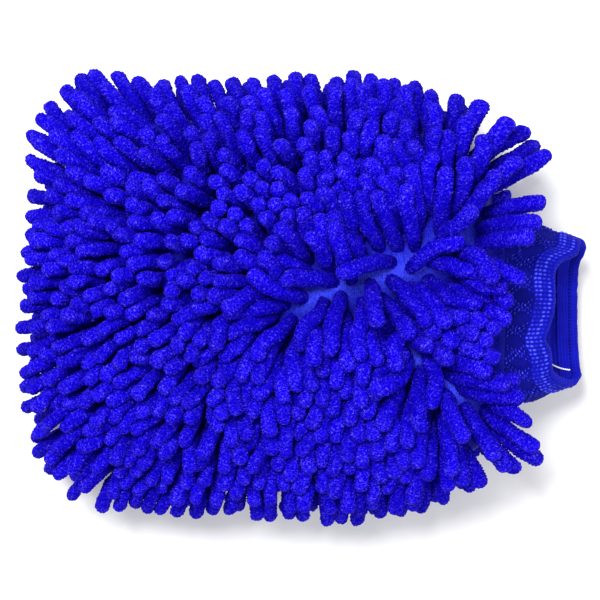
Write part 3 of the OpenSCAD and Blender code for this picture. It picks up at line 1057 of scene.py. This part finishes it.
# the loose thread end lies on the inside of the mouth, a little bowed
f = np.linspace(0, 1, 70)
tail = np.stack([
    118.6 + 11.0 * f,
    -29.4 - 3.9 * f - 0.8 * np.sin(math.pi * f),
    23.2 + 0.25 * f + 0.9 * np.sin(math.pi * f),
], -1)
thread_piece = sewing_cord("thread_tail_yarn", tail, 0.34, 12, lumps=0.05, lump_mm=1.0)


def knit_material():
    g = Graph("cuff_knit")
    co = g.attribute("knit", "Vector")
    stretch = g.node("ShaderNodeVectorMath", _operation="MULTIPLY")
    g.plug(stretch.inputs[0], co)
    stretch.inputs[1].default_value = (1.0, 1.35, 1.0)
    loops = g.node("ShaderNodeTexVoronoi", Vector=stretch.outputs[0], Scale=1.25, Randomness=0.35).outputs[0]
    fibre = g.node("ShaderNodeTexNoise", Vector=co, Scale=2.4, Detail=3.0, Roughness=0.65).outputs[0]
    cloud = g.node("ShaderNodeTexNoise", Vector=co, Scale=0.11, Detail=2.0).outputs[0]
    nap = g.attribute("nap")
    fine = g.math("SUBTRACT", 0.8, loops, clamp=True)
    mixed = g.math("ADD", g.math("MULTIPLY", fine, 0.34), g.math("MULTIPLY", fibre, 0.22))
    level = g.math("ADD", g.math("MULTIPLY", nap, 0.62), mixed)
    level = g.math("ADD", level, g.math("MULTIPLY", g.math("SUBTRACT", cloud, 0.5), 0.25))
    # painted highlight and painted shade: the knit's raised dots and dashes are painted lighter, up to near
    # white, and its hollows and pits darker, over the knit's own dark blue
    colour = g.ramp(level, [(0.02, (0.0008, 0.0008, 0.08)), (0.22, (0.002, 0.003, 0.25)),
                            (0.48, (0.006, 0.008, 0.47)), (0.9, (0.085, 0.10, 0.98))])
    return g.finish(colour, 0.7, mixed, distance=0.0005, strength=0.7, sheen=0.02,
                    tint=(0.4, 0.4, 1.0), specular=0.06)


def thread_material(name, low, high):
    g = Graph(name)
    co = g.attribute("knit", "Vector")
    ply = g.node("ShaderNodeTexWave", Vector=co, Scale=0.6, Distortion=1.0, Detail=1.0,
                 _bands_direction="DIAGONAL").outputs[1]
    fuzz = g.node("ShaderNodeTexNoise", Vector=co, Scale=5.0, Detail=2.0).outputs[0]
    level = g.math("ADD", g.math("MULTIPLY", ply, 0.6), g.math("MULTIPLY", fuzz, 0.4))
    colour = g.ramp(level, [(0.25, low), (0.75, high)])
    return g.finish(colour, 0.7, level, distance=0.0001, strength=0.6, sheen=0.05,
                    tint=(0.8, 0.8, 1), specular=0.1)


knit = knit_material()
seam_thread = thread_material("seam_thread", (0.001, 0.001, 0.16), (0.006, 0.008, 0.42))
elastic_mat = thread_material("elastic", (0.45, 0.46, 0.5), (0.82, 0.83, 0.86))
white_thread = thread_material("white_thread", (0.62, 0.64, 0.75), (0.93, 0.94, 0.98))

for obj, node, slot_name, material in (
    (tube, "cuff_knit", "cuff_knit", knit),
    (hem, "cuff_hem", "cuff_knit", knit),
    (elastic_band, "cuff_elastic", "elastic", elastic_mat),
    (thread_piece, "thread_tail", "white_thread", white_thread),
    (side_seam_piece, "side_seam", "seam_thread", seam_thread),
    (cuff_seam_piece, "cuff_seam", "seam_thread", seam_thread),
):
    obj.data.materials.append(material)
    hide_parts(node)
for obj in (hem, elastic_band, thread_piece):
    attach(obj, "cuff")
for obj in (side_seam_piece, cuff_seam_piece):
    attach(obj, "bag")
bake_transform(tube)

# ---------------------------------------------------------------- stage, light, camera

floor = new_mesh("floor", np.array([[-1500, -1500, 0], [1500, -1500, 0], [1500, 1500, 0], [-1500, 1500, 0]]),
                 np.array([[0, 1, 2, 3]]), smooth_shade=False)
g = Graph("floor")
fine = g.node("ShaderNodeTexNoise", Vector=g.node("ShaderNodeTexCoord").outputs["Object"], Scale=60.0,
              Detail=3.0).outputs[0]
tone = g.ramp(fine, [(0.3, (0.84, 0.84, 0.845)), (0.7, (0.88, 0.88, 0.885))])
floor.data.materials.append(g.finish(tone, 0.9, sheen=0.0, specular=0.1))

scene = bpy.context.scene
scene.view_settings.view_transform = "Standard"
world = bpy.data.worlds.new("studio")
world.use_nodes = True
sky = world.node_tree.nodes["Background"]
sky.inputs["Color"].default_value = (1, 1, 1, 1)
sky.inputs["Strength"].default_value = 0.5
scene.world = world


def softbox(name, place, aim_at, width, power):
    light = bpy.data.lights.new(name, "AREA")
    light.shape, light.size, light.energy = "DISK", width, power
    obj = bpy.data.objects.new(name, light)
    obj.location = place
    obj.rotation_mode = "QUATERNION"
    obj.rotation_quaternion = (Vector(aim_at) - Vector(place)).to_track_quat("-Z", "Y")
    scene.collection.objects.link(obj)


softbox("key", (-0.25, 0.35, 0.95), (0, 0, 0.04), 0.4, 12.6)
softbox("fill", (0.45, -0.35, 0.8), (0, 0, 0.04), 0.5, 3.5)

cam = bpy.data.cameras.new("camera")
cam.sensor_width = 36
cam_obj = bpy.data.objects.new("camera", cam)
# straight above, with a view this wide in mm at the seam's height
camera_height = 0.62
view_mm = 279.07
cam_obj.location = (0.001, 0.0, camera_height)
cam_obj.rotation_mode = "QUATERNION"
cam_obj.rotation_quaternion = Vector((0, 0, -1)).to_track_quat("-Z", "Y")
cam.lens = cam.sensor_width * (camera_height - seam_z * MM) / (view_mm * MM)
cam.clip_start, cam.clip_end = 0.01, 10
scene.collection.objects.link(cam_obj)
scene.camera = cam_obj
